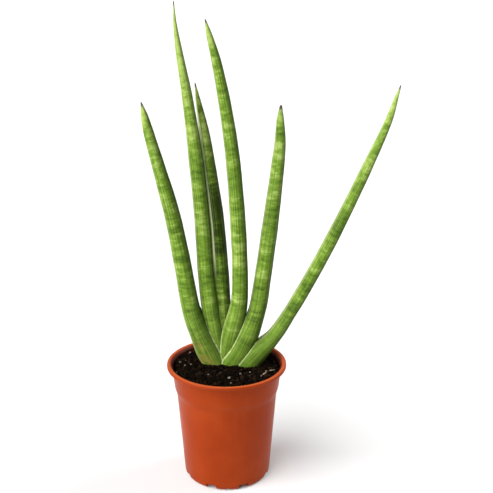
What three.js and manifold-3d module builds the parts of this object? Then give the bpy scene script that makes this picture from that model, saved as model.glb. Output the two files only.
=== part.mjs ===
// A potted cylindrical snake plant: six leaves in one fan, growing from an underground
// stem in the soil of a plastic nursery pot.
// Millimetres, +Z up. The fan spreads along X, and -Y is the plant's front.
// The origin is on the pot's axis, on the ground under the middle of its floor.
import * as THREE from "three";
import { mergeVertices } from "three/addons/utils/BufferGeometryUtils.js";
import Module from "manifold-3d";

const wasm = await Module();
wasm.setup();

// ---------------------------------------------------------------- driving dimensions

// Gap between pieces that touch on the real plant.
const contactGap = 0.3;

// Pot: its moulded profile from the top down, each part narrower than the one above it.
const potHeight = 122;
const rimRadius = 60;
const lipHeight = 3.5;
const lipRound = 1.4;
const lipOverhang = 4.8;
const collarHeight = 23.5;
const collarTaper = 2.7;
const stepHeight = 2.5;
const stepDepth = 2.1;
const wallTaper = 6.7;
const footInset = 4.2;
const footRound = 6;
const potWall = 1.2;
const potSides = 56;

// Pot floor: feet around the edge, with arched water channels between them.
const footCount = 8;
const channelHeight = 4.2;
const channelWidth = 11;
// Flat land of the floor left between neighbouring channels at their inner ends.
const channelLand = 1;
const drainRadius = 3;
const drainCircle = 27;
const notchWidth = 3;
// The floor's wall left above a notch.
const notchRoof = 0.5;

// Soil: its top lies below the rim and swells a little around the plant.
const soilDrop = 6.5;
const moundHeight = 1.5;
const moundRadius = 34;

// Leaves: stations along a leaf for each stretch between two of its control points.
const leafSides = 12;
const leafStations = 2;

// Control points from the base up: [x, y, height above the soil's edge, width across the
// fan, depth front to back].
const leaves = [
  {
    name: "leaf_centre",
    colour: 0x4f7d2c,
    points: [
      [1, 13, -18.5, 12, 9],
      [-1, 14, 14.5, 15, 13],
      [-2.4, 15.5, 41.5, 16.2, 15.5],
      [-5.5, 17.3, 97.5, 16.2, 16],
      [-9.4, 18.7, 153.5, 14.8, 14.8],
      [-15.3, 19.9, 201.5, 13, 13],
      [-20.5, 20.9, 239.5, 9.8, 9.8],
      [-25.6, 21.6, 267.5, 5.2, 5.2],
      [-27.9, 22, 283, 0.9, 0.9],
    ],
  },
  {
    name: "leaf_left_tall",
    colour: 0x7fae3f,
    points: [
      [-2, 12, -18.5, 17, 14],
      [-8, 12, 15.5, 19, 17],
      [-14.2, 12, 51.5, 19, 18],
      [-19.4, 12, 94.5, 16.8, 16.8],
      [-22.6, 12, 149.5, 15.2, 15.2],
      [-27.9, 12, 211.5, 14.2, 14.2],
      [-35.3, 12, 272.5, 10.1, 10.1],
      [-42.3, 12, 316.5, 6.3, 6.3],
      [-45.2, 12, 340.5, 3, 3],
      [-45.9, 12, 358.5, 0.9, 0.9],
    ],
  },
  {
    name: "leaf_middle",
    colour: 0x84b247,
    points: [
      [0, 11, -18.5, 21, 17],
      [1.2, 10.5, 13.5, 23, 18.5],
      [6.5, 9.5, 39.5, 22.5, 18.5],
      [12, 8.5, 64.5, 18, 17.5],
      [13.3, 8, 99.5, 16.6, 16.6],
      [11.4, 7, 156.5, 15.4, 15.4],
      [6.8, 6.1, 216.5, 13.6, 13.6],
      [0.5, 5.3, 262.5, 11.9, 11.9],
      [-7.9, 4.6, 306.5, 9.1, 9.1],
      [-13.6, 4.3, 328.5, 6, 6],
      [-17.4, 4, 343.5, 0.9, 0.9],
    ],
  },
  {
    name: "leaf_left_outer",
    colour: 0x7ca83c,
    points: [
      [-6, 12, -18.5, 27, 21],
      [-9, 11.5, -2.5, 29, 22],
      [-17.5, 11, 15.5, 28, 22],
      [-27, 10, 37.5, 22.5, 20.5],
      [-34, 9.2, 58.5, 20, 19.5],
      [-42.2, 8.5, 107.5, 17.8, 17.8],
      [-51.3, 7.7, 157.5, 16, 16],
      [-62.9, 7, 204.5, 12.8, 12.8],
      [-71.8, 6.5, 239.5, 9.9, 9.9],
      [-75.4, 6.2, 256.5, 6.3, 6.3],
      [-77.8, 6, 268, 0.9, 0.9],
    ],
  },
  {
    name: "leaf_right_inner",
    colour: 0x80ae42,
    points: [
      [2, 11.5, -18.5, 29, 23],
      [4.5, 10.5, -2.5, 32, 24],
      [13, 10.3, 15.5, 28, 24],
      [22.4, 10.5, 36.5, 24, 22.5],
      [30.2, 10.8, 57.5, 19, 19],
      [35.9, 11.3, 92.5, 17.8, 17.8],
      [44.5, 12.3, 155.5, 15.2, 15.2],
      [49.9, 13, 202.5, 12.9, 12.9],
      [52.2, 13.4, 227.5, 11, 11],
      [52.2, 13.8, 249.5, 7.4, 7.4],
      [52.7, 14, 263, 2.2, 2.2],
    ],
  },
  {
    name: "leaf_right_outer",
    colour: 0x86b448,
    points: [
      [10, 11, -18.5, 24, 22],
      [17, 9, -3.5, 28, 25],
      [30.5, 9, 12.5, 23, 22],
      [47.8, 8, 31.5, 16.5, 16.5],
      [63, 6.5, 56.5, 14.4, 14.4],
      [90.1, 3.5, 108.5, 13.4, 13.4],
      [113.2, 0.4, 158.5, 12, 12],
      [133.6, -2.7, 206.5, 10.3, 10.3],
      [151.8, -5.8, 252.5, 6.9, 6.9],
      [157.9, -7.3, 274.5, 3.6, 3.6],
      [161, -8, 285, 0.9, 0.9],
    ],
  },
];

// Underground stem from end to end: [x, y, height above the soil's edge, width, depth].
const stemSides = 10;
const stem = [
  [-25, 13, -22.5, 4, 4],
  [-20, 13, -22.5, 15, 15],
  [-6, 12, -23.5, 20, 20],
  [12, 11, -23.5, 20, 20],
  [26, 11, -22.5, 14, 14],
  [31, 11, -22.5, 4, 4],
];

// Roots: each starts at a point in the stem, [x, y, height above the soil's edge]. Its other
// points are shares of the soil's radius at the foot, and of the way from the lowest root
// end, which clears the floor's channels, up to the middle of the stem.
const rootSides = 6;
const rootThickness = [5, 4, 3, 1.5];
const rootClearance = 12.6;
const stemDepth = 23.5;
const roots = [
  [[-18, 12, -24.5], [-0.711, 0.142, 0.73], [-0.782, -0.095, 0.365], [-0.664, -0.284, 0.027]],
  [[-8, 12, -27.5], [-0.284, 0.569, 0.649], [-0.474, 0.711, 0.297], [-0.379, 0.664, 0]],
  [[4, 11, -27.5], [0.047, 0, 0.595], [0.19, -0.332, 0.27], [0.047, -0.521, 0]],
  [[14, 11, -27.5], [0.474, 0.474, 0.622], [0.616, 0.616, 0.324], [0.474, 0.569, 0.027]],
  [[24, 11, -24.5], [0.853, 0.095, 0.703], [0.806, -0.19, 0.351], [0.616, -0.332, 0.054]],
];

// Perlite grains on the soil: [x and y as shares of the soil's radius, grain radius].
const perlite = [
  [-0.884, 0.198, 1.6], [-0.79, 0.066, 1.2], [-0.677, 0.113, 1.1], [-0.715, 0.64, 1.4],
  [-0.339, -0.358, 1], [0.047, -0.517, 1.7], [0.254, -0.358, 1.5], [0.433, -0.273, 1.2],
  [0.075, -0.724, 1.2], [-0.564, -0.301, 1], [0.621, 0.546, 1.3], [0.489, 0.753, 1.2],
];
const perliteFlattening = 0.8;

// Straw bits lie near one place on the soil's edge, at the front right of the pot:
// [x and y from that place, length, thickness, turn in degrees].
const strawBearing = -24;
const straw = [
  [-11.6, 3.6, 12, 1.2, 55],
  [-5.6, 11.6, 10, 1.1, 20],
  [-13.6, -7.4, 8, 1, -35],
];

// ---------------------------------------------------------------- solids and meshes

function solidOf(geometry) {
  geometry.deleteAttribute("normal");
  geometry.deleteAttribute("uv");
  const merged = mergeVertices(geometry, 1e-4);
  return new wasm.Manifold(new wasm.Mesh({
    numProp: 3,
    vertProperties: Float32Array.from(merged.attributes.position.array),
    triVerts: Uint32Array.from(merged.index.array),
  }));
}

function geometryOf(solid) {
  const mesh = solid.getMesh();
  const geometry = new THREE.BufferGeometry();
  geometry.setAttribute("position", new THREE.BufferAttribute(mesh.vertProperties, 3));
  geometry.setIndex(new THREE.BufferAttribute(mesh.triVerts, 1));
  geometry.computeVertexNormals();
  return geometry;
}

function meshOf(name, solid, colour, roughness) {
  const material = new THREE.MeshStandardMaterial({ color: colour, roughness, metalness: 0 });
  const mesh = new THREE.Mesh(geometryOf(solid), material);
  mesh.name = name;
  return mesh;
}

// A solid of revolution about Z, from [radius, height] points that start and end on the axis.
function turned(points) {
  const geometry = new THREE.LatheGeometry(
    points.map(([radius, height]) => new THREE.Vector2(radius, height)), potSides);
  geometry.rotateX(Math.PI / 2);
  return solidOf(geometry);
}

// Points of a quarter-round from one angle to another, in degrees from the outward radius.
function arc(centreRadius, centreHeight, radius, fromAngle, toAngle, steps) {
  return Array.from({ length: steps + 1 }, (_, i) => {
    const angle = THREE.MathUtils.degToRad(fromAngle + ((toAngle - fromAngle) * i) / steps);
    return [centreRadius + radius * Math.cos(angle), centreHeight + radius * Math.sin(angle)];
  });
}

// An outline in the plane across a radius, run outward along it from one radius to another.
function radialPrism(outline, fromRadius, toRadius, angle) {
  const shape = new THREE.Shape(outline.map(([across, height]) => new THREE.Vector2(across, height)));
  const geometry = new THREE.ExtrudeGeometry(shape, { depth: toRadius - fromRadius, bevelEnabled: false });
  geometry.translate(0, 0, fromRadius);
  geometry.rotateX(Math.PI / 2);
  geometry.rotateZ(angle);
  return solidOf(geometry);
}

// A tapering body along control points, with oval sections whose width lies in the
// plane of the fan. Growing it by a gap gives the room that its neighbours leave it.
function grownBody(points, sides, stations, gap) {
  const line = new THREE.CatmullRomCurve3(points.map(([x, y, z]) => new THREE.Vector3(x, y, z)));
  const girth = new THREE.CatmullRomCurve3(
    points.map(([, , , width, depth]) => new THREE.Vector3(width / 2, depth / 2, 0)));
  const count = stations * (points.length - 1);
  const positions = [];
  for (let i = 0; i <= count; i++) {
    const t = i / count;
    const tangent = line.getTangent(t);
    const centre = line.getPoint(t);
    const across = new THREE.Vector3(0, 1, 0).cross(tangent).normalize();
    const front = new THREE.Vector3().crossVectors(tangent, across);
    const size = girth.getPoint(t);
    const end = i === 0 ? -gap : i === count ? gap : 0;
    centre.addScaledVector(tangent, end);
    for (let k = 0; k < sides; k++) {
      const angle = (2 * Math.PI * k) / sides;
      const point = centre.clone()
        .addScaledVector(across, (size.x + gap) * Math.cos(angle))
        .addScaledVector(front, (size.y + gap) * Math.sin(angle));
      positions.push(point.x, point.y, point.z);
    }
  }
  const index = [];
  for (let i = 0; i < count; i++) {
    for (let k = 0; k < sides; k++) {
      const a = i * sides + k;
      const b = i * sides + ((k + 1) % sides);
      index.push(a, b, b + sides, a, b + sides, a + sides);
    }
  }
  const last = count * sides;
  for (let k = 1; k < sides - 1; k++) {
    index.push(0, k + 1, k);
    index.push(last, last + k, last + k + 1);
  }
  const geometry = new THREE.BufferGeometry();
  geometry.setAttribute("position", new THREE.Float32BufferAttribute(positions, 3));
  geometry.setIndex(index);
  return solidOf(geometry);
}

const union = (solids) => solids.reduce((all, solid) => all.add(solid));
// Angles of a number of places spread evenly around the axis.
const spread = (count) => Array.from({ length: count }, (_, i) => (2 * Math.PI * i) / count);

// ---------------------------------------------------------------- pot

const collarTopRadius = rimRadius - lipOverhang;
const collarBottomRadius = collarTopRadius - collarTaper;
const wallTopRadius = collarBottomRadius - stepDepth;
const wallBottomRadius = wallTopRadius - wallTaper;
const footRadius = wallBottomRadius - footInset;
const lipBottom = potHeight - lipHeight;
const collarBottom = lipBottom - collarHeight;
const wallTop = collarBottom - stepHeight;
const soilEdge = potHeight - soilDrop;
// Angle from the middle of a foot to the middle of the channel beside it.
const halfPitch = Math.PI / footCount;

// Rounding from the flat of the feet up to the wall.
const footEdge = arc(0, 1, 1, -90, 0, 4).map(([across, up]) => [
  footRadius + footInset * across,
  footRound * up,
]);

// The blank has the pot's outside, with a groove under the overhanging lip.
const potBlank = turned([
  [0, 0],
  ...footEdge,
  [wallTopRadius, wallTop],
  [collarBottomRadius, collarBottom],
  [collarTopRadius, potHeight - potWall],
  [rimRadius - potWall, potHeight - potWall],
  [rimRadius - potWall, lipBottom],
  [rimRadius, lipBottom],
  ...arc(rimRadius - lipRound, potHeight - lipRound, lipRound, 0, 90, 3),
  [0, potHeight],
]);

// Radius of the inside at a height on the collar, inset from the outside.
function collarInside(height, inset) {
  return THREE.MathUtils.mapLinear(
    height, collarBottom, potHeight - potWall, collarBottomRadius, collarTopRadius) - inset;
}

// The inside from the middle of the floor up to the collar, inset from the outside.
function insideProfile(inset) {
  return [
    [0, inset],
    ...footEdge.map(([radius, height]) => [radius - inset, height + inset]),
    [wallTopRadius - inset, wallTop],
    [collarBottomRadius - inset, collarBottom],
  ];
}

const rimRoundBottom = potHeight - lipRound;
const rimInside = collarInside(rimRoundBottom, potWall);
const cavity = turned([
  ...insideProfile(potWall),
  ...arc(rimInside + lipRound, rimRoundBottom, lipRound, 180, 90, 3),
  [rimInside + lipRound, potHeight + 1],
  [0, potHeight + 1],
]);

// Outline of a water channel: an arch whose sides lean in, grown by a margin.
function channelOutline(margin) {
  const half = channelWidth / 2 + margin;
  const top = channelHeight + margin;
  return [[-half, -1], [half, -1], [half * 0.92, top * 0.7], [half * 0.6, top],
    [-half * 0.6, top], [-half * 0.92, top * 0.7]];
}

// Channels run from the middle of the floor, where their walls would meet, out through
// the rounded edge.
const channelStart = (channelWidth / 2 + potWall) / Math.tan(halfPitch) + channelLand + potWall;
function channels(margin) {
  return union(spread(footCount).map((angle) => radialPrism(
    channelOutline(margin), channelStart - margin, wallBottomRadius + 2 * potWall, angle + halfPitch)));
}

const drains = union(spread(footCount).map((angle) => {
  const drain = new THREE.CylinderGeometry(drainRadius, drainRadius, channelHeight + 4 * potWall, 16);
  drain.rotateX(Math.PI / 2);
  drain.translate(0, -drainCircle, channelHeight);
  drain.rotateZ(angle + halfPitch);
  return solidOf(drain);
}));

// A notch is a small upside-down V that opens downward at the outer edge of a foot.
const notchHeight = potWall - notchRoof;
const notchFlare = (notchWidth / 2) * (1 + 1 / notchHeight);
const notchOutline = [[-notchFlare, -1], [notchFlare, -1], [0, notchHeight]];
const notches = union(spread(footCount).map((angle) => radialPrism(
  notchOutline, footRadius - potWall, wallBottomRadius, angle)));

// The floor rises over each channel, so the cavity is cut back there before it is cut out.
const pot = potBlank.subtract(cavity.subtract(channels(potWall)))
  .subtract(channels(0))
  .subtract(drains)
  .subtract(notches);

// ---------------------------------------------------------------- plant

const soilInset = potWall + contactGap;
const rootBottom = channelHeight + potWall + rootClearance;
const rootReach = wallBottomRadius - soilInset;
const planted = (points) => points.map(([x, y, height, ...size]) => [x, y, soilEdge + height, ...size]);

function rootPoints([[x, y, height], ...points]) {
  const places = [[x, y, soilEdge + height], ...points.map(([across, along, rise]) => [
    across * rootReach,
    along * rootReach,
    THREE.MathUtils.lerp(rootBottom, soilEdge - stemDepth, rise),
  ])];
  return places.map((place, i) => [...place, rootThickness[i], rootThickness[i]]);
}

const stemPiece = (gap) => union([
  grownBody(planted(stem), stemSides, leafStations, gap),
  ...roots.map((root) => grownBody(rootPoints(root), rootSides, leafStations, gap)),
]);
const stemRoom = stemPiece(contactGap);

// Each leaf clasps the ones before it in the list, so it is cut to clear them.
const leafMeshes = [];
let plantRoom = stemRoom;
for (const { name, colour, points } of leaves) {
  const grown = (gap) => grownBody(planted(points), leafSides, leafStations, gap);
  leafMeshes.push(meshOf(name, grown(0).subtract(plantRoom), colour, 0.45));
  plantRoom = plantRoom.add(grown(contactGap));
}

// ---------------------------------------------------------------- soil and what lies on it

function soilHeight(radius) {
  const share = Math.min(radius / moundRadius, 1);
  return soilEdge + moundHeight * (1 - share * share) ** 2;
}

const moundSteps = 5;
const mound = Array.from({ length: moundSteps + 1 }, (_, i) => moundRadius * (1 - i / moundSteps));
const soilRadius = collarInside(soilEdge, soilInset);
const soil = turned([
  ...insideProfile(soilInset),
  [soilRadius, soilEdge],
  ...mound.map((radius) => [radius, soilHeight(radius)]),
])
  .subtract(channels(soilInset))
  .subtract(plantRoom);

const grainMeshes = perlite.map(([across, along, radius], i) => {
  const x = across * soilRadius;
  const y = along * soilRadius;
  const grain = new THREE.IcosahedronGeometry(radius, 0);
  grain.scale(1, 1, perliteFlattening);
  grain.rotateZ(i);
  grain.computeBoundingBox();
  grain.translate(x, y, soilHeight(Math.hypot(x, y)) + contactGap - grain.boundingBox.min.z);
  return meshOf(`perlite_${i + 1}`, solidOf(grain), 0xe8e4da, 0.9);
});

const strawSides = 6;
const strawPlace = new THREE.Vector2(soilRadius, 0)
  .rotateAround(new THREE.Vector2(), THREE.MathUtils.degToRad(strawBearing));
const strawMeshes = straw.map(([across, along, length, thickness, turn], i) => {
  const x = strawPlace.x + across;
  const y = strawPlace.y + along;
  const angle = THREE.MathUtils.degToRad(turn);
  const reach = new THREE.Vector2(Math.cos(angle), Math.sin(angle)).multiplyScalar(length / 2);
  const z = soilHeight(Math.hypot(x, y)) + contactGap + thickness / 2;
  const ends = [-1, 0, 1].map((end) => [x + end * reach.x, y + end * reach.y, z, thickness, thickness]);
  return meshOf(`straw_${i + 1}`, grownBody(ends, strawSides, 2, 0), 0xc9ad7f, 0.8);
});

// ---------------------------------------------------------------- the object

const plant = new THREE.Group();
plant.add(
  meshOf("pot", pot, 0xb8532b, 0.45),
  meshOf("soil", soil, 0x2a1d15, 0.95),
  meshOf("rhizome", stemPiece(0), 0xb9895a, 0.7),
  ...leafMeshes,
  ...grainMeshes,
  ...strawMeshes,
);

export default plant;
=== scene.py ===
"""The looks of a potted cylindrical snake plant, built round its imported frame.

Shapes are worked out in millimetres, like the frame's source, and become metres when
a mesh is made. +Z is up, -Y is the plant's front, and the pot's axis is the Z axis.
"""
import math
import random

import bmesh
import bpy
import numpy as np
from mathutils import Matrix, Vector
from mathutils.bvhtree import BVHTree


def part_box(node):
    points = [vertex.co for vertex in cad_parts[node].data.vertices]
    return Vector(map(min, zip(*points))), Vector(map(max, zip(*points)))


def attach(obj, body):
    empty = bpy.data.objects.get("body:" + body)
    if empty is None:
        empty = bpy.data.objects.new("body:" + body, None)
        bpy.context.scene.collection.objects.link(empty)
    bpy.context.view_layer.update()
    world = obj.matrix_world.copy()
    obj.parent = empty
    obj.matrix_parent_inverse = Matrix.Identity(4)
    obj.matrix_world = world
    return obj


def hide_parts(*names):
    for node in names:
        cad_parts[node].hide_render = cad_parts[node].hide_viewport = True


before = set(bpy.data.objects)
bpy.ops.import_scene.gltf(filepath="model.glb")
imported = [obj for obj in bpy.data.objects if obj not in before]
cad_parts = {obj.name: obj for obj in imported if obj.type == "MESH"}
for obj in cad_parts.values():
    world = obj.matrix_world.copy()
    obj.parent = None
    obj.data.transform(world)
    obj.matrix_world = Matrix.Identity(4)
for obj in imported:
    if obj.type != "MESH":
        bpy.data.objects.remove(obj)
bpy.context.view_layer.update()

MM = 0.001

# ------------------------------------------------------------------ places from the frame

RIM_RADIUS, _, POT_HEIGHT = np.array(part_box("pot")[1]) / MM
SOIL_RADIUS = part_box("soil")[1][0] / MM

# ------------------------------------------------------------------ pot dimensions

LIP_HEIGHT = 3.5
LIP_ROUND = 1.6
RIM_INSIDE = RIM_RADIUS - 3.6
COLLAR_TOP_RADIUS = RIM_RADIUS - 4.8
COLLAR_BOTTOM_RADIUS = COLLAR_TOP_RADIUS - 2.7
COLLAR_HEIGHT = 23.5
STEP_HEIGHT = 2.5
STEP_SPREAD = 2.2
STEP_ROUND = 9
WALL_TOP_RADIUS = COLLAR_BOTTOM_RADIUS - 2.1
WALL_BOTTOM_RADIUS = WALL_TOP_RADIUS - 6.7
FOOT_RADIUS = WALL_BOTTOM_RADIUS - 4.2
FOOT_ROUND = 6
POT_WALL = 1.2
FOOT_COUNT = 8
FOOT_PITCH = 2 * math.pi / FOOT_COUNT
CHANNEL_HEIGHT = 5.5
CHANNEL_HALF = 6.2
CHANNEL_START = 18.5
NOTCH_HALF = 2.6
NOTCH_HEIGHT = 3.6
DRAIN_RADIUS = 3
DRAIN_CIRCLE = 27
POT_SIDES = 45 * FOOT_COUNT
FLOOR_RINGS = 40
INNER_FLOOR_RINGS = 36
LONGEST_STRETCH = 7
SHARP_ANGLE = math.radians(50)

# ------------------------------------------------------------------ soil dimensions

SOIL_DROP = 6.5
SOIL_EDGE = POT_HEIGHT - SOIL_DROP
MOUND_HEIGHT = 1.5
MOUND_RADIUS = 34
SOIL_GAP = 0.3
SOIL_RINGS = 110
SOIL_SIDES = 360
SOIL_BOTTOM = 8
SOIL_WAVES = 90
WAVE_HEIGHT = 0.16
CLOD_COUNT = 1500
CLOD_SIZES = (0.5, 0.8, 1.1, 1.5, 2.0)
CLOD_ROUGHNESS = 0.28
GRAIN_ROUGHNESS = 0.16
STRAW_SIDES = 10
STRAW_RINGS = 14

# ------------------------------------------------------------------ leaves

# From the innermost leaf outwards. Each has the side its channel faces (-1 left, 1 right)
# and points from the base up: x, y, height above the soil's edge, width across the fan
# and depth front to back.
LEAVES = {
    "leaf_centre": (-1, [
        (1, 13, -18.5, 12, 9), (-1, 14, 14.5, 15, 13), (-2.4, 15.5, 41.5, 16.2, 15.5),
        (-5.5, 17.3, 97.5, 16.2, 16), (-9.4, 18.7, 153.5, 14.8, 14.8), (-15.3, 19.9, 201.5, 13, 13),
        (-20.5, 20.9, 239.5, 9.8, 9.8), (-25.6, 21.6, 267.5, 5.2, 5.2), (-27.9, 22, 283, 0.9, 0.9)]),
    "leaf_left_tall": (1, [
        (-2, 12, -18.5, 17, 14), (-8, 12, 15.5, 19, 17), (-14.2, 12, 51.5, 19, 18),
        (-19.4, 12, 94.5, 16.8, 16.8), (-22.6, 12, 149.5, 15.2, 15.2), (-27.9, 12, 211.5, 14.2, 14.2),
        (-35.3, 12, 272.5, 10.1, 10.1), (-42.3, 12, 316.5, 6.3, 6.3), (-45.2, 12, 340.5, 3, 3),
        (-45.9, 12, 358.5, 0.9, 0.9)]),
    "leaf_middle": (-1, [
        (0, 11, -18.5, 21, 17), (1.2, 10.5, 13.5, 23, 18.5), (6.5, 9.5, 39.5, 22.5, 18.5),
        (12, 8.5, 64.5, 18, 17.5), (13.3, 8, 99.5, 16.6, 16.6), (11.4, 7, 156.5, 15.4, 15.4),
        (6.8, 6.1, 216.5, 13.6, 13.6), (0.5, 5.3, 262.5, 11.9, 11.9), (-7.9, 4.6, 306.5, 9.1, 9.1),
        (-13.6, 4.3, 328.5, 6, 6), (-17.4, 4, 343.5, 0.9, 0.9)]),
    "leaf_left_outer": (1, [
        (-6, 12, -18.5, 27, 21), (-9, 11.5, -2.5, 29, 22), (-17.5, 11, 15.5, 28, 22),
        (-27, 10, 37.5, 22.5, 20.5), (-34, 9.2, 58.5, 20, 19.5), (-42.2, 8.5, 107.5, 17.8, 17.8),
        (-51.3, 7.7, 157.5, 16, 16), (-62.9, 7, 204.5, 12.8, 12.8), (-71.8, 6.5, 239.5, 9.9, 9.9),
        (-75.4, 6.2, 256.5, 6.3, 6.3), (-77.8, 6, 268, 0.9, 0.9)]),
    "leaf_right_inner": (-1, [
        (2, 11.5, -18.5, 29, 23), (4.5, 10.5, -2.5, 32, 24), (13, 10.3, 15.5, 28, 24),
        (22.4, 10.5, 36.5, 24, 22.5), (30.2, 10.8, 57.5, 19, 19), (35.9, 11.3, 92.5, 17.8, 17.8),
        (44.5, 12.3, 155.5, 15.2, 15.2), (49.9, 13, 202.5, 12.9, 12.9), (52.2, 13.4, 227.5, 11, 11),
        (52.2, 13.8, 249.5, 7.4, 7.4), (52.7, 14, 263, 2.2, 2.2)]),
    "leaf_right_outer": (-1, [
        (10, 11, -18.5, 24, 22), (17, 9, -3.5, 28, 25), (30.5, 9, 12.5, 23, 22),
        (47.8, 8, 31.5, 16.5, 16.5), (63, 6.5, 56.5, 14.4, 14.4), (90.1, 3.5, 108.5, 13.4, 13.4),
        (113.2, 0.4, 158.5, 12, 12), (133.6, -2.7, 206.5, 10.3, 10.3), (151.8, -5.8, 252.5, 6.9, 6.9),
        (157.9, -7.3, 274.5, 3.6, 3.6), (161, -8, 285, 0.9, 0.9)]),
}
# How much paler (above 0) or darker (below 0) each leaf's skin is than its middle green,
# at shares of its length from the base.
# Besides each skin's own tone these hold painted light and shade: the centre leaf is painted paler high
# up, where its neighbours shade it, and the right-hand leaves darker where the kicker lights them.
LEAF_TONES = {
    "leaf_centre": (
        (0.3, 0.1), (0.42, -0.4), (0.5, -1.5), (0.62, -1.5), (0.72, 0), (0.84, 1), (1, 1.8)),
    "leaf_left_tall": ((0.3, 0), (0.6, 0.2), (0.75, 1.1), (1, 1.8)),
    "leaf_middle": ((0.3, 0), (0.45, 0.3), (0.6, -0.3), (0.8, -0.2), (1, 1)),
    "leaf_left_outer": ((0.2, -0.5), (0.5, -0.3), (0.8, 0.2), (1, 1)),
    "leaf_right_inner": ((0.2, -0.3), (0.8, 0), (1, 0.9)),
    "leaf_right_outer": ((0.2, -0.5), (0.45, -0.2), (0.8, 0.2), (1, 1)),
}
LEAF_SIDES = 112
LEAF_STATIONS = 26
FURROWS = 13
FURROW_DEPTH = 0.22
FURROW_WIDTH = 0.075
FURROW_WANDER = 0.12
FURROW_FADE = 60
MARGIN_WIDTH = 1.1
MARGIN_PROUD = 0.3
# Leaves clasp each other no higher than this above the soil's edge.
CLASP_HEIGHT = 120
CLASP_SIDES = 48
CLASP_STATIONS = 10
CHANNEL_DEPTH = 0.16
CHANNEL_SPREAD = 0.5
# Heights above the soil's edge where the channel is gone and where it is deepest.
CHANNEL_FADE = (174, 54)
# Share of the girth and length in millimetres of each slow swelling along a leaf.
SWELLINGS = ((0.010, 11), (0.008, 5.5), (0.012, 31))
TIP_LENGTH = 0.4
# The youngest leaf has a pale lip along its front left, from these heights up: a pale edge painted
# brighter still with painted light, where its neighbour shades it.
YOUNG_LEAF = "leaf_centre"
LIP_RISE = (84, 125)
# One leaf is stained brown on its left, below these heights.
STAINED_LEAF = "leaf_left_outer"
STAIN_FADE = (40, 7)


# ------------------------------------------------------------------ numbers and curves

def smooth(edge0, edge1, value):
    """0 below edge0, 1 above edge1, and a smooth rise between them."""
    t = np.clip((value - edge0) / (edge1 - edge0), 0, 1)
    return t * t * (3 - 2 * t)


def spline(points, stations):
    """Points along a centripetal Catmull-Rom curve, so many for each stretch."""
    points = np.array(points, float)
    ends = [2 * points[0] - points[1], 2 * points[-1] - points[-2]]
    padded = np.vstack([ends[0], points, ends[1]])
    made = []
    for j in range(len(points) - 1):
        p = padded[j:j + 4]
        gaps = [max(np.linalg.norm(p[i + 1] - p[i]), 1e-6) ** 0.5 for i in range(3)]
        t0 = ((p[1] - p[0]) / gaps[0] - (p[2] - p[0]) / (gaps[0] + gaps[1])
              + (p[2] - p[1]) / gaps[1]) * gaps[1]
        t1 = ((p[2] - p[1]) / gaps[1] - (p[3] - p[1]) / (gaps[1] + gaps[2])
              + (p[3] - p[2]) / gaps[2]) * gaps[1]
        for t in np.linspace(0, 1, stations, endpoint=False):
            made.append(p[1] + t0 * t + (3 * (p[2] - p[1]) - 2 * t0 - t1) * t * t
                        + (2 * (p[1] - p[2]) + t0 + t1) * t ** 3)
    return np.vstack([made, points[-1]])


# ------------------------------------------------------------------ meshes

def tube_faces(rings, sides):
    """Quads of a tube of rings that close on themselves, facing out."""
    i, k = np.meshgrid(np.arange(rings - 1), np.arange(sides), indexing="ij")
    a = (i * sides + k).ravel()
    b = (i * sides + (k + 1) % sides).ravel()
    return np.column_stack([a, b, b + sides, a + sides])


def cap_faces(first, sides, centre, up):
    """Triangles from a ring to its middle point."""
    k = np.arange(sides)
    a, b = first + k, first + (k + 1) % sides
    middle = np.full(sides, centre)
    return np.column_stack([a, b, middle] if up else [b, a, middle])


def make_piece(name, points, faces, material, attributes=None):
    """A smooth-shaded mesh object of points in millimetres."""
    mesh = bpy.data.meshes.new(name)
    flat = [f for group in faces for f in np.asarray(group).tolist()]
    mesh.from_pydata((np.asarray(points) * MM).tolist(), [], flat)
    mesh.shade_smooth()
    for key, values in (attributes or {}).items():
        values = np.asarray(values, np.float32)
        if values.ndim == 1:
            mesh.attributes.new(key, "FLOAT", "POINT").data.foreach_set("value", values)
        else:
            mesh.attributes.new(key, "FLOAT_VECTOR", "POINT").data.foreach_set(
                "vector", values.ravel())
    mesh.materials.append(material)
    piece = bpy.data.objects.new(name, mesh)
    bpy.context.scene.collection.objects.link(piece)
    return piece


def settle(piece, slot, *nodes):
    """The piece stands for CAD nodes, in the plant's one body."""
    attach(piece, "root")
    if nodes:
        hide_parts(*nodes)


# ------------------------------------------------------------------ material nodes

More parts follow.
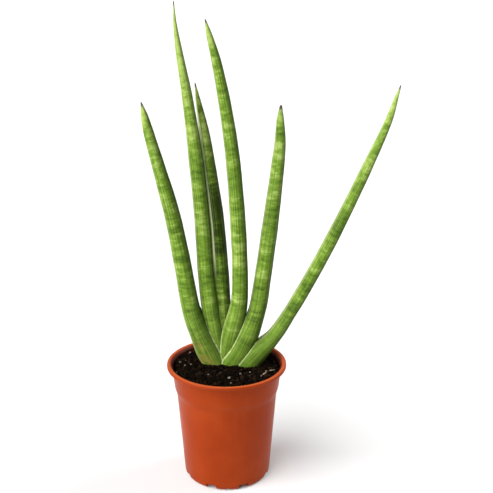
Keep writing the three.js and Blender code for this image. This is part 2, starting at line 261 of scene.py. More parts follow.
class Paint:
    """A material's node tree, with one short call for each node."""

    def __init__(self, name):
        self.material = bpy.data.materials.new(name)
        self.material.use_nodes = True
        self.tree = self.material.node_tree
        self.shader = self.tree.nodes["Principled BSDF"]

    def set(self, **values):
        for key, value in values.items():
            self.shader.inputs[key.replace("_", " ")].default_value = value

    def feed(self, key, socket):
        self.tree.links.new(socket, self.shader.inputs[key])

    def node(self, kind, inputs=None, **options):
        made = self.tree.nodes.new(kind)
        for key, value in options.items():
            setattr(made, key, value)
        for key, value in (inputs or {}).items():
            if isinstance(value, bpy.types.NodeSocket):
                self.tree.links.new(value, made.inputs[key])
            else:
                made.inputs[key].default_value = value
        return made

    def attribute(self, name, output="Fac"):
        return self.node("ShaderNodeAttribute", attribute_name=name).outputs[output]

    def position(self):
        return self.node("ShaderNodeTexCoord").outputs["Object"]

    def scaled(self, vector, scale):
        return self.node("ShaderNodeVectorMath", {0: vector, 1: scale}, operation="MULTIPLY").outputs[0]

    def noise(self, vector, scale, detail, roughness):
        return self.node("ShaderNodeTexNoise", {
            "Vector": vector, "Scale": scale, "Detail": detail,
            "Roughness": roughness}).outputs["Fac"]

    def ramp(self, value, stops):
        """A run of colours along a value, from (place, colour) stops."""
        made = self.node("ShaderNodeValToRGB", {"Fac": value})
        ramp = made.color_ramp
        while len(ramp.elements) < len(stops):
            ramp.elements.new(0.5)
        for element, (place, colour) in zip(ramp.elements, stops):
            element.position = place
            element.color = (*colour, 1)
        return made.outputs["Color"]

    def math(self, operation, a, b):
        return self.node("ShaderNodeMath", {0: a, 1: b}, operation=operation).outputs[0]

    def weighted(self, *parts):
        """The sum of values, each times its weight."""
        products = [self.math("MULTIPLY", value, weight) for value, weight in parts]
        total = products[0]
        for product in products[1:]:
            total = self.math("ADD", total, product)
        return total

    def span(self, value, low, high, to_low=0.0, to_high=1.0):
        return self.node("ShaderNodeMapRange", {
            "Value": value, "From Min": low, "From Max": high, "To Min": to_low,
            "To Max": to_high}).outputs["Result"]

    def mix(self, factor, a, b):
        made = self.node("ShaderNodeMix", {"Factor": factor}, data_type="RGBA")
        for socket, value in ((made.inputs[6], a), (made.inputs[7], b)):
            if isinstance(value, bpy.types.NodeSocket):
                self.tree.links.new(value, socket)
            else:
                socket.default_value = (*value, 1)
        return made.outputs[2]

    def tint(self, under, colour, value, low, high, most):
        """A colour laid over another: none where the value is low, so much where it is high."""
        return self.mix(self.span(value, low, high, 0, most), under, colour)

    def bump(self, height, strength, distance):
        self.feed("Normal", self.node("ShaderNodeBump", {
            "Height": height, "Strength": strength, "Distance": distance}).outputs["Normal"])


# ------------------------------------------------------------------ materials

# Scale around a leaf, scale along it and weight of each layer of cross-bands.
LEAF_BANDS = {"clusters": (0.25, 58, 0.40), "stripes": (0.6, 225, 0.50), "threads": (1.3, 520, 0.22)}
BAND_MIDDLE = 0.56
BAND_SWAY = 0.0035
TONE_WEIGHT = 0.09
# Painted shade for each leaf's +X side and painted light for its -X edge.
SIDE_SHADE = 0.92
PAINTED_LIGHT_EDGE = (0.38, 0.46, 0.17)
PALE_LIP_WITH_PAINTED_LIGHT = (0.84, 0.95, 0.52)
PALE_MARGIN = (0.52, 0.60, 0.28)
BROWN_STAIN = (0.33, 0.22, 0.06)
TIP_OLIVE = (0.26, 0.29, 0.14)
TIP_DRY = (0.055, 0.055, 0.03)


def leaf_paint(name, dark, middle, light):
    """Waxy green skin with uneven cross-bands, furrows, pale margins and a dry tip.

    It also has painted shade on each leaf's +X side and painted light along its -X edge:
    one-sided light held in the colour itself, so it shows from every side and in any light.
    """
    paint = Paint(name)
    space = paint.attribute("leaf_space", "Vector")
    side = paint.node("ShaderNodeSeparateXYZ", {0: space}).outputs["X"]
    ground = paint.attribute("leaf_height")
    seed = paint.attribute("leaf_seed")

    def layer(vector, scale, **settings):
        return paint.node("ShaderNodeTexNoise", {
            "Vector": paint.scaled(vector, scale), "W": seed, "Scale": 1, "Detail": 2,
            **settings}, noise_dimensions="4D").outputs["Fac"]

    # Bands run round the leaf, a little up and down.
    sway = paint.math("SUBTRACT", layer(space, (1.1, 1.1, 30)), 0.5)
    sway = paint.node("ShaderNodeCombineXYZ", {"Z": paint.math("MULTIPLY", sway, BAND_SWAY)})
    bent = paint.node("ShaderNodeVectorMath", {0: space, 1: sway.outputs[0]}, operation="ADD")
    layers = {kind: layer(bent.outputs[0], (around, around, along), Roughness=0.6)
              for kind, (around, along, _) in LEAF_BANDS.items()}
    banding = paint.weighted(*[(layers[kind], weight) for kind, (_, _, weight) in LEAF_BANDS.items()])
    banding = paint.math("MULTIPLY", paint.math("SUBTRACT", banding, BAND_MIDDLE),
                         paint.span(ground, 0.015, 0.07, 0.35, 1.0))
    tone = paint.math("MULTIPLY", paint.attribute("leaf_tone"), TONE_WEIGHT)
    tone = paint.math("ADD", paint.math("ADD", tone, banding), 0.5)
    skin = paint.ramp(tone, [
        (0.37, dark), (0.46, tuple((d + 2 * m) / 3 for d, m in zip(dark, middle))),
        (0.52, middle), (0.58, tuple((m + l) / 2 for m, l in zip(middle, light))), (0.67, light)])

    # Streaks and finer threads run lengthwise, and show most near the ground.
    streaks = paint.noise(paint.scaled(space, (7, 7, 9)), 1, 3, 0.6)
    skin = paint.tint(skin, light, streaks, 0.52, 0.75, 0.4)
    skin = paint.tint(skin, dark, streaks, 0.47, 0.28, 0.5)
    threading = paint.noise(paint.scaled(space, (26, 26, 42)), 1, 4, 0.7)
    strong = paint.span(ground, 0.02, 0.09, 0.9, 0.6)
    pale_threads = paint.math("MULTIPLY", paint.span(threading, 0.53, 0.68, 0, 0.55), strong)
    dark_threads = paint.math("MULTIPLY", paint.span(threading, 0.47, 0.33, 0, 0.6), strong)
    skin = paint.mix(pale_threads, skin, light)
    skin = paint.mix(dark_threads, skin, dark)
    skin = paint.mix(paint.math("MULTIPLY", paint.attribute("leaf_furrow"), 0.6), skin, dark)

    # Painted shade on each leaf's +X side, painted light along its -X edge.
    skin = paint.tint(skin, tuple(0.5 * d for d in dark), side, 0.12, 0.97, SIDE_SHADE)
    skin = paint.tint(skin, PAINTED_LIGHT_EDGE, side, -0.72, -1, 0.55)
    # The young leaf's pale lip, brightened with painted light.
    skin = paint.mix(paint.attribute("leaf_pale_lip_and_light"), skin, PALE_LIP_WITH_PAINTED_LIGHT)
    stain = paint.span(paint.noise(paint.position(), 95, 4, 0.6), 0.40, 0.62)
    skin = paint.mix(paint.math("MULTIPLY", stain, paint.attribute("leaf_stain")), skin, BROWN_STAIN)
    ragged = paint.span(paint.noise(paint.position(), 380, 3, 0.6), 0.38, 0.62, 0.4, 0.95)
    skin = paint.mix(paint.math("MULTIPLY", paint.attribute("leaf_margin"), ragged), skin, PALE_MARGIN)
    tip = paint.attribute("leaf_tip")
    skin = paint.tint(skin, TIP_OLIVE, tip, 0.008, 0.0035, 0.6)
    skin = paint.tint(skin, TIP_DRY, tip, 0.0046, 0.0026, 1)

    paint.feed("Base Color", skin)
    paint.feed("Roughness", paint.span(tone, 0.35, 0.65, 0.5, 0.4))
    paint.set(Specular_IOR_Level=0.06)
    paint.bump(paint.weighted((threading, 0.6), (layers["stripes"], 0.4)), 0.5, 0.0007)
    return paint.material


def pot_paint():
    """Terracotta-coloured moulded plastic, a little scuffed and uneven, with a painted highlight on the
    rim's top and painted shade, with soil staining, inside.
    """
    paint = Paint("pot_plastic")
    place = paint.position()
    cloud = paint.noise(place, 22, 4, 0.55)
    body = paint.ramp(cloud, [(0.3, (0.215, 0.024, 0.002)), (0.5, (0.24, 0.028, 0.0025)),
                              (0.72, (0.27, 0.035, 0.004))])
    flow = paint.noise(paint.scaled(place, (110, 110, 7)), 1, 3, 0.5)
    body = paint.tint(body, (0.34, 0.052, 0.008), flow, 0.5, 0.8, 0.15)
    scuff = paint.noise(paint.scaled(place, (260, 260, 60)), 1, 5, 0.7)
    body = paint.tint(body, (0.36, 0.07, 0.016), scuff, 0.62, 0.8, 0.25)
    # The rim's top is painted paler as a painted highlight; the foot's lower edge is paler from
    # rubbing.
    highlight_and_wear = paint.math("MULTIPLY", paint.attribute("pot_highlight_and_wear"), 0.7)
    body = paint.mix(highlight_and_wear, body, (0.50, 0.095, 0.026))
    # Inside, below the rim, the pot is painted nearly black: painted shade, with soil staining.
    patchy = paint.span(paint.noise(place, 160, 5, 0.7), 0.3, 0.6, 0.75, 1.0)
    shade_and_dirt = paint.math("MULTIPLY", paint.attribute("pot_shade_and_dirt"), patchy)
    body = paint.mix(shade_and_dirt, body, (0.012, 0.004, 0.003))
    paint.feed("Base Color", body)
    paint.feed("Roughness", paint.span(scuff, 0.3, 0.75, 0.28, 0.42))
    paint.set(Specular_IOR_Level=0.07)
    paint.bump(paint.noise(place, 900, 3, 0.6), 0.06, 0.0004)
    return paint.material


def soil_paint():
    """Dark peat soil with brown fibres, reddish bark and pale dust."""
    paint = Paint("potting_soil")
    place = paint.position()
    clods = paint.noise(place, 260, 5, 0.7)
    body = paint.ramp(clods, [(0.3, (0.0008, 0.0005, 0.0003)), (0.5, (0.0026, 0.0014, 0.0008)),
                              (0.62, (0.007, 0.004, 0.002)), (0.8, (0.024, 0.014, 0.008))])
    body = paint.mix(paint.attribute("soil_tone"), body, (0.020, 0.010, 0.005))
    flecks = paint.node("ShaderNodeTexVoronoi", {"Vector": place, "Scale": 620.0})
    pick = paint.node("ShaderNodeSeparateColor", {0: flecks.outputs["Color"]}).outputs[0]
    pale = paint.math("MULTIPLY", paint.math("GREATER_THAN", pick, 0.975),
                      paint.math("LESS_THAN", flecks.outputs["Distance"], 0.35))
    body = paint.mix(paint.math("MULTIPLY", pale, 0.8), body, (0.16, 0.14, 0.11))
    paint.feed("Base Color", body)
    paint.set(Roughness=0.85, Specular_IOR_Level=0.03)
    paint.bump(paint.noise(place, 700, 5, 0.7), 0.7, 0.0012)
    return paint.material


def perlite_paint():
    """White crumbly expanded glass, a little stained by the soil."""
    paint = Paint("perlite_grain")
    place = paint.position()
    stain = paint.noise(place, 500, 4, 0.6)
    body = paint.ramp(stain, [(0.38, (0.03, 0.02, 0.014)), (0.5, (0.13, 0.11, 0.09)),
                              (0.66, (0.32, 0.30, 0.27))])
    paint.feed("Base Color", body)
    paint.set(Roughness=0.9)
    paint.bump(paint.noise(place, 1500, 4, 0.7), 0.8, 0.0006)
    return paint.material


def straw_paint(name, dark, light):
    """A dry plant fibre, streaked along its length."""
    paint = Paint(name)
    place = paint.position()
    streak = paint.noise(paint.scaled(place, (900, 900, 300)), 1, 4, 0.6)
    paint.feed("Base Color", paint.ramp(streak, [(0.35, dark), (0.65, light)]))
    paint.set(Roughness=0.7)
    paint.bump(streak, 0.5, 0.0004)
    return paint.material


def floor_paint():
    """Pale matt studio floor with a barely visible unevenness."""
    paint = Paint("studio_floor")
    cloud = paint.noise(paint.position(), 3, 2, 0.5)
    body = paint.ramp(cloud, [(0.3, (0.76, 0.76, 0.76)), (0.7, (0.78, 0.78, 0.78))])
    paint.feed("Base Color", body)
    paint.set(Roughness=0.9, Specular_IOR_Level=0.1)
    return paint.material


# ------------------------------------------------------------------ camera, light and floor

RIM_CENTRE = Vector((0, 0, POT_HEIGHT * MM))
CAMERA_DISTANCE = 1.0
CAMERA_ELEVATION = math.radians(24.84)
CAMERA_PITCH = math.radians(18.2)
CAMERA_YAW = math.radians(-1.26)
CAMERA_LENS = 72.07
SENSOR_WIDTH = 36
# Suns: degrees they are turned from the front to the left, degrees of height, strength, and
# degrees of softness.
LIGHTS = {"key": (55, 36, 5.4, 75), "kicker": (-105, 38, 1.8, 30)}
# The sky is white at the horizon and grey overhead.
ZENITH_GREY = 0.25
HORIZON_PLACE = 0.02
ZENITH_PLACE = 0.30
FLOOR_REACH = 60000


def make_camera():
    data = bpy.data.cameras.new("camera")
    data.lens = CAMERA_LENS
    data.sensor_width = SENSOR_WIDTH
    camera = bpy.data.objects.new("camera", data)
    back = Vector((0, -math.cos(CAMERA_ELEVATION), math.sin(CAMERA_ELEVATION)))
    camera.location = RIM_CENTRE + CAMERA_DISTANCE * back
    camera.rotation_euler = (math.pi / 2 - CAMERA_PITCH, 0, CAMERA_YAW)
    bpy.context.scene.collection.objects.link(camera)
    bpy.context.scene.camera = camera


def make_lights():
    world = bpy.data.worlds.new("studio")
    world.use_nodes = True
    tree = world.node_tree
    sky = tree.nodes["Background"]
    sky.inputs["Strength"].default_value = 1
    direction = tree.nodes.new("ShaderNodeTexCoord")
    height = tree.nodes.new("ShaderNodeSeparateXYZ")
    fade = tree.nodes.new("ShaderNodeValToRGB")
    horizon, zenith = fade.color_ramp.elements
    horizon.position = HORIZON_PLACE
    horizon.color = (1, 1, 1, 1)
    zenith.position = ZENITH_PLACE
    zenith.color = (ZENITH_GREY, ZENITH_GREY, ZENITH_GREY, 1)
    tree.links.new(direction.outputs["Generated"], height.inputs[0])
    tree.links.new(height.outputs["Z"], fade.inputs["Fac"])
    tree.links.new(fade.outputs["Color"], sky.inputs["Color"])
    bpy.context.scene.world = world
    for name, (azimuth, elevation, strength, softness) in LIGHTS.items():
        sun = bpy.data.lights.new(name, "SUN")
        sun.energy = strength
        sun.angle = math.radians(softness)
        lamp = bpy.data.objects.new(name, sun)
        turn, rise = math.radians(azimuth), math.radians(elevation)
        lamp.location = (-math.cos(rise) * math.sin(turn), -math.cos(rise) * math.cos(turn),
                         math.sin(rise))
        lamp.rotation_euler = (-lamp.location).to_track_quat("-Z", "Y").to_euler()
        bpy.context.scene.collection.objects.link(lamp)


def make_floor():
    corners = [(x * FLOOR_REACH, y * FLOOR_REACH, 0) for x, y in ((-1, -1), (1, -1), (1, 1), (-1, 1))]
    floor = make_piece("floor", corners, [[(0, 1, 2, 3)]], floor_paint())


# ------------------------------------------------------------------ pot

def fillet(corners, steps=5):
    """An outline of (radius, height, rounding) corners with each rounding as an arc."""
    made = []
    for j, (radius, height, rounding) in enumerate(corners):
        here = np.array([radius, height], float)
        if not rounding:
            made.append(here)
            continue
        to_last = np.array(corners[j - 1][:2]) - here
        to_next = np.array(corners[j + 1][:2]) - here
        to_last /= np.linalg.norm(to_last)
        to_next /= np.linalg.norm(to_next)
        half = math.acos(np.clip(to_last @ to_next, -1, 1)) / 2
        middle = to_last + to_next
        middle /= np.linalg.norm(middle)
        centre = here + middle * rounding / math.sin(half)
        start = here + to_last * rounding / math.tan(half) - centre
        end = here + to_next * rounding / math.tan(half) - centre
        turn = math.pi - 2 * half
        for t in np.linspace(0, 1, steps):
            blend = (math.sin((1 - t) * turn) * start + math.sin(t * turn) * end) / math.sin(turn)
            made.append(centre + blend)
    return made


def ease_long(outline, longest):
    """The outline with points added so that no stretch is longer than so much."""
    made = [outline[0]]
    for here in outline[1:]:
        last = made[-1]
        count = max(1, math.ceil(np.linalg.norm(here - last) / longest))
        made += [last + (here - last) * i / count for i in range(1, count + 1)]
    return made


def floor_rise(radius, angle):
    """Height of the pot's underside: water channels between the feet, and edge notches."""
    from_channel = (angle + math.pi / 2) % FOOT_PITCH - FOOT_PITCH / 2
    across = np.abs(radius * np.sin(from_channel))
    channel = CHANNEL_HEIGHT * smooth(CHANNEL_HALF, CHANNEL_HALF * 0.72, across)
    channel = channel * smooth(CHANNEL_START - 1, CHANNEL_START + 1, radius)
    from_foot = (angle + math.pi / 2 + FOOT_PITCH / 2) % FOOT_PITCH - FOOT_PITCH / 2
    notch = NOTCH_HEIGHT * np.clip(1 - np.abs(radius * np.sin(from_foot)) / NOTCH_HALF, 0, 1)
    notch = notch * smooth(FOOT_RADIUS - 3.5, FOOT_RADIUS - 2, radius)
    return np.maximum(channel, notch)


def foot_edge_radius(height):
    """Radius of the rounded lower edge at a height above the ground."""
    share = np.clip(1 - height / FOOT_ROUND, 0, 1)
    return FOOT_RADIUS + (WALL_BOTTOM_RADIUS - FOOT_RADIUS) * np.sqrt(1 - share * share)


def drill(piece, centres, radius, depth):
    """Cuts round upright holes through a piece."""
    cutters = bmesh.new()
    for centre in centres:
        bmesh.ops.create_cone(
            cutters, cap_ends=True, segments=40, radius1=radius * MM, radius2=radius * MM,
            depth=depth * MM, matrix=Matrix.Translation(Vector(centre) * MM))
    mesh = bpy.data.meshes.new("drill")
    cutters.to_mesh(mesh)
    cutters.free()
    tool = bpy.data.objects.new("drill", mesh)
    bpy.context.scene.collection.objects.link(tool)
    cut = piece.modifiers.new("drill", "BOOLEAN")
    cut.operation = "DIFFERENCE"
    cut.solver = "EXACT"
    cut.object = tool
    shaped = piece.evaluated_get(bpy.context.evaluated_depsgraph_get())
    piece.data = bpy.data.meshes.new_from_object(shaped)
    piece.modifiers.clear()
    bpy.data.objects.remove(tool)
    piece.data.set_sharp_from_angle(angle=SHARP_ANGLE)


def make_pot():
    """The pot as rings: out under the floor, up the outside, over the lip and back inside."""
    lip_bottom = POT_HEIGHT - LIP_HEIGHT
    collar_bottom = lip_bottom - COLLAR_HEIGHT
    wall_top = collar_bottom - STEP_HEIGHT
    under_lip = POT_HEIGHT - 2 * POT_WALL
    outline = fillet([
        (WALL_BOTTOM_RADIUS, FOOT_ROUND, 0),
        (WALL_TOP_RADIUS, wall_top - STEP_SPREAD, STEP_ROUND),
        (COLLAR_BOTTOM_RADIUS, collar_bottom + STEP_SPREAD, STEP_ROUND),
        (COLLAR_TOP_RADIUS, under_lip, 0.4),
        (RIM_RADIUS - POT_WALL, under_lip, 0.4),
        (RIM_RADIUS - POT_WALL, lip_bottom, 0.5),
        (RIM_RADIUS, lip_bottom, 0.55),
        (RIM_RADIUS, POT_HEIGHT, LIP_ROUND),
        (RIM_INSIDE, POT_HEIGHT, LIP_ROUND),
        (COLLAR_TOP_RADIUS - POT_WALL, lip_bottom, 1.0),
        (COLLAR_BOTTOM_RADIUS - POT_WALL, collar_bottom + STEP_SPREAD, STEP_ROUND),
        (WALL_TOP_RADIUS - POT_WALL, wall_top - STEP_SPREAD, STEP_ROUND),
        (WALL_BOTTOM_RADIUS - POT_WALL, FOOT_ROUND + POT_WALL, 0),
    ])
    outline = ease_long(outline, LONGEST_STRETCH)
    angle = 2 * math.pi * np.arange(POT_SIDES) / POT_SIDES
    lowest = floor_rise(foot_edge_radius(CHANNEL_HEIGHT / 2), angle)
    rings = []
    edge = foot_edge_radius(lowest)
    for share in np.linspace(0.04, 1, FLOOR_RINGS):
        radius = edge * share
        rise = floor_rise(radius, angle)
        rings.append((radius, rise + (lowest - rise) * smooth(0.9, 1, share)))
    for share in np.linspace(0, 1, 8)[1:-1]:
        height = lowest + (FOOT_ROUND - lowest) * share
        rings.append((foot_edge_radius(height), height))
    for radius, height in outline:
        rings.append((np.full(POT_SIDES, radius), np.full(POT_SIDES, height)))
        if radius > RIM_INSIDE and height > POT_HEIGHT - LIP_ROUND:
            rim_ring = len(rings)
    inner_edge = WALL_BOTTOM_RADIUS - POT_WALL
    for share in np.linspace(1, 0.04, INNER_FLOOR_RINGS)[1:]:
        radius = np.full(POT_SIDES, inner_edge * share)
        corner = FOOT_ROUND * smooth(FOOT_RADIUS - POT_WALL, inner_edge + 1, radius)
        rings.append((radius, POT_WALL + np.maximum(floor_rise(radius, angle), corner)))
    points = np.vstack([
        np.column_stack([r * np.cos(angle), r * np.sin(angle), h]) for r, h in rings])
    count = len(rings)
    points = np.vstack([points, [(0, 0, 0), (0, 0, POT_WALL)]])
    bottom = count * POT_SIDES
    faces = [tube_faces(count, POT_SIDES), cap_faces(0, POT_SIDES, bottom, False),
             cap_faces((count - 1) * POT_SIDES, POT_SIDES, bottom + 1, True)]
    radius = np.hypot(points[:, 0], points[:, 1])
    height = points[:, 2]
    # A paler band: a painted highlight along the rim's top, and rubbing on the foot's lower edge.
    edge = smooth(POT_HEIGHT - 0.7, POT_HEIGHT, height)
    edge = np.maximum(edge, smooth(1.5, 0, height) * smooth(FOOT_RADIUS - 4, FOOT_RADIUS, radius))
    # Inside the pot, below the rim: painted shade with soil staining.
    inner = np.arange(len(points)) > rim_ring * POT_SIDES
    shade_and_dirt = inner * smooth(POT_HEIGHT - 0.3, POT_HEIGHT - 1.9, height)
    pot = make_piece("pot_shell", points, faces, pot_paint(), {"pot_highlight_and_wear": edge, "pot_shade_and_dirt": shade_and_dirt})
    turns = [(k + 0.5) * FOOT_PITCH - math.pi / 2 for k in range(FOOT_COUNT)]
    drains = [(DRAIN_CIRCLE * math.cos(t), DRAIN_CIRCLE * math.sin(t), CHANNEL_HEIGHT) for t in turns]
    drill(pot, drains, DRAIN_RADIUS, 4 * POT_WALL)
    settle(pot, "pot", "pot")


# ------------------------------------------------------------------ soil

def soil_height(radius):
    share = np.clip(radius / MOUND_RADIUS, 0, 1)
    return SOIL_EDGE + MOUND_HEIGHT * (1 - share * share) ** 2


def make_soil(dice):
    """A crumbly bed: a disc of uneven height with many small clods lying on it."""
    angle = 2 * math.pi * np.arange(SOIL_SIDES) / SOIL_SIDES
    waves = [(dice.uniform(0.15, 2.6), dice.uniform(0, 2 * math.pi),
              dice.uniform(0, 2 * math.pi)) for _ in range(SOIL_WAVES)]
    points = []
    for share in np.linspace(0.01, 1, SOIL_RINGS):
        radius = SOIL_RADIUS * share
        x, y = radius * np.cos(angle), radius * np.sin(angle)
        z = np.full(SOIL_SIDES, soil_height(radius))
        for pitch, turn, phase in waves:
            swing = (x * math.cos(turn) + y * math.sin(turn)) * pitch + phase
            z += WAVE_HEIGHT * np.sin(swing) / (0.6 + pitch)
        points.append(np.column_stack([x, y, np.minimum(z, POT_HEIGHT - 3)]))
    points.reverse()
    inset = POT_WALL + SOIL_GAP
    side = [np.column_stack([r * np.cos(angle), r * np.sin(angle), np.full(SOIL_SIDES, h)])
            for r, h in ((WALL_BOTTOM_RADIUS - 4, SOIL_BOTTOM), (WALL_BOTTOM_RADIUS - inset, 12),
                         (WALL_TOP_RADIUS - inset, 92), (COLLAR_BOTTOM_RADIUS - inset, 95))]
    everything = np.vstack(side + points)
    count = len(side) + SOIL_RINGS
    everything = np.vstack([everything, [(0, 0, SOIL_BOTTOM)], [(0, 0, soil_height(0))]])
    bottom = count * SOIL_SIDES
    faces = [tube_faces(count, SOIL_SIDES), cap_faces(0, SOIL_SIDES, bottom, False),
             cap_faces(bottom - SOIL_SIDES, SOIL_SIDES, bottom + 1, True)]
    bed_points, bed_faces, bed_tone = [everything], faces, [np.zeros(len(everything))]
    offset = len(everything)
    ball, ball_faces = clod_shape()
    for _ in range(CLOD_COUNT):
        radius = (SOIL_RADIUS - 1.2) * math.sqrt(dice.random())
        turn = dice.uniform(0, 2 * math.pi)
        size = dice.choice(CLOD_SIZES) * dice.uniform(0.75, 1.2)
        warp = 1 + CLOD_ROUGHNESS * np.array([dice.uniform(-1, 1) for _ in ball])[:, None]
        squash = np.array([dice.uniform(0.7, 1.2), dice.uniform(0.7, 1.2), dice.uniform(0.5, 0.9)])
        place = np.array([radius * math.cos(turn), radius * math.sin(turn),
                          soil_height(radius) + size * 0.25])
        bed_points.append(ball * warp * squash * size + place)
        bed_faces.append(ball_faces + offset)
        bed_tone.append(np.full(len(ball), dice.random() ** 3))
        offset += len(ball)
    soil = make_piece("soil_bed", np.vstack(bed_points), bed_faces, soil_paint(),
                      {"soil_tone": np.concatenate(bed_tone)})
    settle(soil, "soil", "soil")


def clod_shape():
    """Points and faces of a small ball: 20 triangles, each split in four."""
    ball = bmesh.new()
    bmesh.ops.create_icosphere(ball, subdivisions=2, radius=1)
    points = np.array([v.co for v in ball.verts])
    faces = np.array([[v.index for v in f.verts] for f in ball.faces])
    ball.free()
    return points, faces


def make_grains(dice):
    """Perlite grains on the soil, one for each CAD grain."""
    paint = perlite_paint()
    ball, ball_faces = clod_shape()
    for name in sorted(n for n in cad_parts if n.startswith("perlite_")):
        low, high = (np.array(corner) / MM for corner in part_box(name))
        half = (high - low) / 2
        warp = 1 + GRAIN_ROUGHNESS * np.array([dice.uniform(-1, 1) for _ in ball])[:, None]
        points = ball * warp
        points *= half / np.abs(points).max(axis=0)
        grain = make_piece(name + "_crumb", points + (low + high) / 2, [ball_faces], paint)
        settle(grain, "perlite", name)


def make_straw(dice):
    """Dry stems on the soil, one for each CAD straw."""
    paint = straw_paint("dry_straw", (0.22, 0.15, 0.08), (0.48, 0.39, 0.25))
    for name in sorted(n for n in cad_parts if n.startswith("straw_")):
        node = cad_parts[name]
        co = np.array([v.co for v in node.data.vertices]) / MM
        centre = co.mean(axis=0)
        along = np.linalg.svd(co - centre)[2][0]
        reach = ((co - centre) @ along).max()
        across = np.cross(along, (0, 0, 1))
        across /= np.linalg.norm(across)
        half = (co[:, 2].max() - co[:, 2].min()) / 2
        rings = []
        bend = dice.uniform(-0.6, 0.6)
        for t in np.linspace(-1, 1, STRAW_RINGS):
            girth = half * (0.8 + 0.2 * math.cos(4 * t)) * (0.75 if abs(t) == 1 else 1)
            middle = centre + along * reach * t + across * bend * (1 - t * t)
            turn = 2 * math.pi * np.arange(STRAW_SIDES) / STRAW_SIDES
            rings.append(middle + girth * (np.outer(np.cos(turn), across)
                                           + np.outer(np.sin(turn), np.cross(along, across))))
        points = np.vstack(rings + [rings[0].mean(axis=0), rings[-1].mean(axis=0)])
        last = STRAW_RINGS * STRAW_SIDES
        faces = [tube_faces(STRAW_RINGS, STRAW_SIDES), cap_faces(0, STRAW_SIDES, last, False),
                 cap_faces(last - STRAW_SIDES, STRAW_SIDES, last + 1, True)]
        settle(make_piece(name + "_stem", points, faces, paint), "straw", name)


# ------------------------------------------------------------------ leaves

def planted(points):
    """Leaf points with their heights above the soil's edge turned into heights."""
    return [(x, y, SOIL_EDGE + height, *size) for x, y, height, *size in points]


def leaf_frames(points, stations):
    """Centres, sideways and frontward directions, half sizes and lengths along a leaf."""
    line = spline([p[:3] for p in points], stations)
    girth = spline([(p[3] / 2, p[4] / 2, 0) for p in points], stations)
    along = np.gradient(line, axis=0)
    along /= np.linalg.norm(along, axis=1)[:, None]
    across = np.cross((0, 1, 0), along)
    across /= np.linalg.norm(across, axis=1)[:, None]
    front = np.cross(along, across)
    length = np.concatenate([[0], np.cumsum(np.linalg.norm(np.diff(line, axis=0), axis=1))])
    return line, across, front, girth[:, :2], length


def plain_loft(points, sides, stations):
    """Rings of a leaf with smooth oval sections, as [station, side, xyz]."""
    line, across, front, girth, _ = leaf_frames(points, stations)
    turn = 2 * math.pi * np.arange(sides) / sides
    return (line[:, None] + across[:, None] * (girth[:, 0, None] * np.cos(turn))[..., None]
            + front[:, None] * (girth[:, 1, None] * np.sin(turn))[..., None])


def clasp_surface(points):
    """An inner leaf as a search tree, for the leaves that clasp it."""
    rings = plain_loft(points, CLASP_SIDES, CLASP_STATIONS)
    faces = tube_faces(len(rings), CLASP_SIDES)
    return BVHTree.FromPolygons(rings.reshape(-1, 3).tolist(), faces.tolist())


def tone_along(name, share):
    """How much paler or darker than its middle green a leaf's skin is along its length."""
    places, tones = zip(*LEAF_TONES[name])
    return np.interp(share, places, tones)


def turned_by(angle):
    """An angle as one between half a turn back and half a turn forward."""
    return (angle + math.pi) % (2 * math.pi) - math.pi


def leaf_furrows(turn, length, dice):
    """How deep in a furrow each point of a leaf is, from 0 to 1, as [station, side]."""
    furrow = np.zeros((len(length), len(turn)))
    for j in range(FURROWS):
        place = 2 * math.pi * (j + dice.uniform(-0.3, 0.3)) / FURROWS
        wander = FURROW_WANDER * np.sin(length / dice.uniform(60, 120) + dice.uniform(0, 6))
        apart = turned_by(turn[None, :] - place - wander[:, None])
        deep = dice.uniform(0.35, 1)
        furrow = np.maximum(furrow, deep * np.exp(-(apart / FURROW_WIDTH) ** 2))
    return furrow * smooth(0, FURROW_FADE, length[-1] - length)[:, None]


def clasping(rings, height, inner):
    """How near each point is to the inner leaves: 1 where it touches, 0 a margin away."""
    margin = np.zeros(rings.shape[:2])
    for i in np.flatnonzero(height < CLASP_HEIGHT):
        for k in range(rings.shape[1]):
            place = Vector(rings[i, k])
            for tree in inner:
                near, normal, _, apart = tree.find_nearest(place)
                if (place - near).dot(normal) < 0:
                    apart = 0
                margin[i, k] = max(margin[i, k], 1 - apart / MARGIN_WIDTH)
    return margin


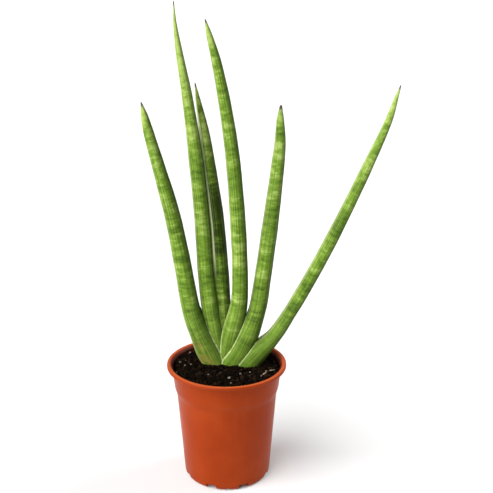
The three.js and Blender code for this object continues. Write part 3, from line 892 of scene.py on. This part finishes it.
def make_leaf(name, facing, points, inner, paint, slot, dice):
    """One leaf: furrowed, channelled on its inner side, with a pale lip where it clasps."""
    line, across, front, girth, length = leaf_frames(points, LEAF_STATIONS)
    turn = 2 * math.pi * np.arange(LEAF_SIDES) / LEAF_SIDES
    cos, sin = np.cos(turn), np.sin(turn)
    count = len(line)
    total = length[-1]
    height = line[:, 2] - SOIL_EDGE
    furrow = leaf_furrows(turn, length, dice)
    hollow = np.exp(-(turned_by(turn - (0 if facing > 0 else math.pi)) / CHANNEL_SPREAD) ** 2)
    depth = CHANNEL_DEPTH * smooth(*CHANNEL_FADE, height)
    swell = sum(share * np.sin(length / pitch + dice.uniform(0, 6)) for share, pitch in SWELLINGS)
    scale = 1 + swell[:, None] - depth[:, None] * hollow[None, :]
    half_width = girth[:, 0, None] * scale - FURROW_DEPTH * furrow
    half_depth = girth[:, 1, None] * scale - FURROW_DEPTH * furrow
    rings = (line[:, None] + across[:, None] * (half_width * cos)[..., None]
             + front[:, None] * (half_depth * sin)[..., None])
    margin = clasping(rings, height, inner)
    out = across[:, None] * cos[None, :, None] + front[:, None] * sin[None, :, None]
    rings += out * (MARGIN_PROUD * smooth(0, 0.55, margin))[..., None]

    point = line[-1] + TIP_LENGTH * (line[-1] - line[-2])
    everything = np.vstack([rings.reshape(-1, 3), line[0], point])
    last = count * LEAF_SIDES
    faces = [tube_faces(count, LEAF_SIDES), cap_faces(0, LEAF_SIDES, last, False),
             cap_faces(last - LEAF_SIDES, LEAF_SIDES, last + 1, True)]

    def on_points(values, at_base=0, at_tip=0):
        """Values of every station, side or both, then those of the two end points."""
        return np.append(np.broadcast_to(values, (count, LEAF_SIDES)).ravel(), [at_base, at_tip])

    lip = stain = np.zeros((count, LEAF_SIDES))
    # The young leaf's pale edge, with painted light laid over it.
    if name == YOUNG_LEAF:
        lip = (smooth(*LIP_RISE, height)[:, None] * smooth(-0.42, -0.68, cos)[None, :]
               * smooth(0.35, 0, sin)[None, :])
    if name == STAINED_LEAF:
        stain = smooth(*STAIN_FADE, height)[:, None] * smooth(0.35, -0.7, cos)[None, :]
    along = (length * MM)[:, None]
    ground = (height * MM)[:, None]
    attributes = {
        "leaf_space": np.column_stack([
            on_points(cos), on_points(sin), on_points(along, 0, total * MM)]),
        "leaf_pale_lip_and_light": on_points(lip),
        "leaf_furrow": on_points(furrow),
        "leaf_margin": on_points(smooth(0.1, 0.6, margin)),
        "leaf_height": on_points(ground, ground[0, 0], ground[-1, 0]),
        "leaf_tip": on_points(((total - length) * MM)[:, None], total * MM, 0),
        "leaf_stain": on_points(stain),
        "leaf_tone": on_points(tone_along(name, length / total)[:, None]),
        "leaf_seed": np.full(len(everything), dice.uniform(0, 40)),
    }
    leaf = make_piece(name + "_skin", everything, faces, paint, attributes)
    settle(leaf, slot, name)


def make_leaves(dice):
    green = leaf_paint(
        "leaf_skin", (0.040, 0.088, 0.006), (0.14, 0.245, 0.022), (0.36, 0.47, 0.12))
    dark = leaf_paint(
        "young_leaf_skin", (0.014, 0.028, 0.001), (0.085, 0.16, 0.012), (0.33, 0.43, 0.10))
    inner = []
    for name, (facing, points) in LEAVES.items():
        young = name == YOUNG_LEAF
        points = planted(points)
        make_leaf(name, facing, points, inner, dark if young else green,
                  "leaf_dark" if young else "leaf", dice)
        inner.append(clasp_surface(points))


def paint_hidden_parts():
    """The underground stem keeps its CAD shape, in a material of its own."""
    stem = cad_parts["rhizome"]
    stem.data.materials.clear()
    stem.data.materials.append(straw_paint("rhizome_skin", (0.34, 0.18, 0.08), (0.62, 0.40, 0.20)))


def main():
    scene = bpy.context.scene
    scene.view_settings.view_transform = "Standard"
    make_camera()
    make_lights()
    make_floor()
    make_pot()
    make_soil(random.Random(11))
    make_grains(random.Random(12))
    make_straw(random.Random(13))
    make_leaves(random.Random(14))
    paint_hidden_parts()


main()
